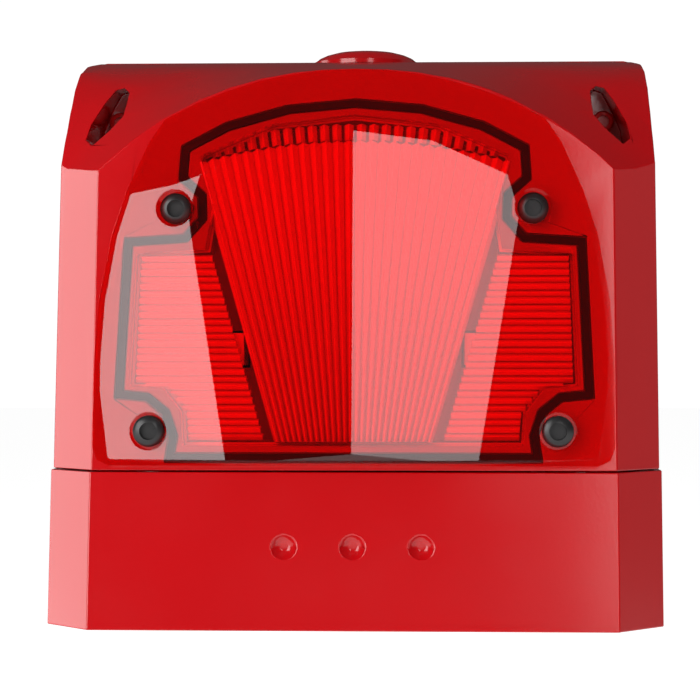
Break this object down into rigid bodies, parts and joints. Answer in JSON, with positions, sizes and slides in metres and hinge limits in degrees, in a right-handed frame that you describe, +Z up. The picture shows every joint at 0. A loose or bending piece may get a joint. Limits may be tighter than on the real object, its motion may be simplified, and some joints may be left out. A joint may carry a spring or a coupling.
{
  "type": "alarm siren with flashing beacon",
  "caption": "Wall-mounted alarm siren: red housing with a sloping roof, a faceted red beacon lens above and a downward horn outlet below, on a wiring base with a hinged front.",
  "frame": {"origin": "centre of the base's flat wall face", "axes": "-Y out from the wall to the front, +Z up, +X to the right as seen from the front"},
  "size_m": [0.134, 0.1082, 0.1343],
  "materials": {
    "housing_red": "moulded, satin gloss",
    "lens_red": "clear moulded polycarbonate, red",
    "rubber_black": "moulded",
    "plated_steel": "zinc plated",
    "screw_black": "black coated steel",
    "screw_red": "coated to match the housing",
    "board_green": "solder mask",
    "plastic_green": "moulded",
    "plastic_blue": "moulded",
    "plastic_white": "moulded",
    "plastic_black": "moulded",
    "reflector_white": "moulded, glossy",
    "tube_glass": "clear glass",
    "coil_copper": "enamelled copper wire",
    "film_amber": "polyimide film"
  },
  "bodies": {
    "base": {"base_shell": "housing_red", "housing_seal": "rubber_black", "hinge_pin": "plated_steel", "plug_seal": "rubber_black", "main_board": "board_green", "board_screw_1": "plated_steel", "board_screw_2": "plated_steel", "terminal_block": "plastic_green", "terminal_screw_1": "plated_steel", "terminal_screw_2": "plated_steel", "terminal_screw_3": "plated_steel", "terminal_screw_4": "plated_steel", "dip_switch_body": "plastic_blue", "trimmer_body": "plastic_blue", "lead_socket": "plastic_white", "smoothing_capacitor": "plastic_black"},
    "front": {"front_hood": "housing_red", "horn_cover": "housing_red", "lens": "lens_red", "lens_gasket": "rubber_black", "beacon_reflector": "reflector_white", "flash_tube": "tube_glass", "tube_holder_left": "plastic_white", "tube_holder_right": "plastic_white", "beacon_board": "board_green", "storage_capacitor": "plastic_black", "trigger_transformer": "film_amber", "horn_body": "plastic_black", "outlet_grille": "plastic_black", "driver_housing": "plastic_black", "driver_magnet": "plated_steel", "horn_cover_screw_1": "plated_steel", "horn_cover_screw_2": "plated_steel", "horn_cover_screw_3": "plated_steel", "horn_cover_screw_4": "plated_steel", "reflector_screw_1": "plated_steel", "reflector_screw_2": "plated_steel", "beacon_board_screw_1": "plated_steel", "beacon_board_screw_2": "plated_steel", "horn_screw_1": "plated_steel", "horn_screw_2": "plated_steel", "driver_screw_1": "plated_steel", "driver_screw_2": "plated_steel", "driver_screw_3": "plated_steel", "lens_screw_1": "screw_black", "lens_screw_2": "screw_black", "lens_screw_3": "screw_black", "lens_screw_4": "screw_black"},
    "plug": {"blanking_plug": "housing_red"},
    "left_screw": {"cover_screw_left": "screw_red"},
    "right_screw": {"cover_screw_right": "screw_red"},
    "volume_rotor": {"trimmer_rotor": "plastic_white"},
    "diaphragm": {"driver_diaphragm": "film_amber", "voice_coil": "coil_copper"},
    "slider_1": {"dip_slider_1": "plastic_white"},
    "slider_2": {"dip_slider_2": "plastic_white"},
    "slider_3": {"dip_slider_3": "plastic_white"},
    "slider_4": {"dip_slider_4": "plastic_white"},
    "slider_5": {"dip_slider_5": "plastic_white"}
  },
  "joints": [
    {"name": "cover_hinge", "type": "hinge", "parent": "base", "child": "front", "pos_m": [0, -0.03, -0.061], "axis": [1, 0, 0], "range_deg": [0, 90]},
    {"name": "plug_turn", "type": "hinge", "parent": "base", "child": "plug", "pos_m": [0, -0.015, 0.065], "axis": [0, 0, 1], "continuous": true},
    {"name": "left_screw_turn", "type": "hinge", "parent": "front", "child": "left_screw", "pos_m": [-0.0565, -0.03, 0.048], "axis": [0, 1, 0], "continuous": true},
    {"name": "right_screw_turn", "type": "hinge", "parent": "front", "child": "right_screw", "pos_m": [0.0565, -0.03, 0.048], "axis": [0, 1, 0], "continuous": true},
    {"name": "volume_turn", "type": "hinge", "parent": "base", "child": "volume_rotor", "pos_m": [0.02, -0.0179, -0.001], "axis": [0, 1, 0], "range_deg": [-135, 135]},
    {"name": "diaphragm_travel", "type": "slide", "parent": "front", "child": "diaphragm", "axis": [0, 0, 1], "range_m": [-0.0003, 0.0003], "stiffness_N_per_m": 2000},
    {"name": "tone_switch_1", "type": "slide", "parent": "base", "child": "slider_1", "axis": [0, 0, 1], "range_m": [0, 0.0018]},
    {"name": "tone_switch_2", "type": "slide", "parent": "base", "child": "slider_2", "axis": [0, 0, 1], "range_m": [0, 0.0018]},
    {"name": "tone_switch_3", "type": "slide", "parent": "base", "child": "slider_3", "axis": [0, 0, 1], "range_m": [0, 0.0018]},
    {"name": "tone_switch_4", "type": "slide", "parent": "base", "child": "slider_4", "axis": [0, 0, 1], "range_m": [0, 0.0018]},
    {"name": "tone_switch_5", "type": "slide", "parent": "base", "child": "slider_5", "axis": [0, 0, 1], "range_m": [0, 0.0018]}
  ]
}
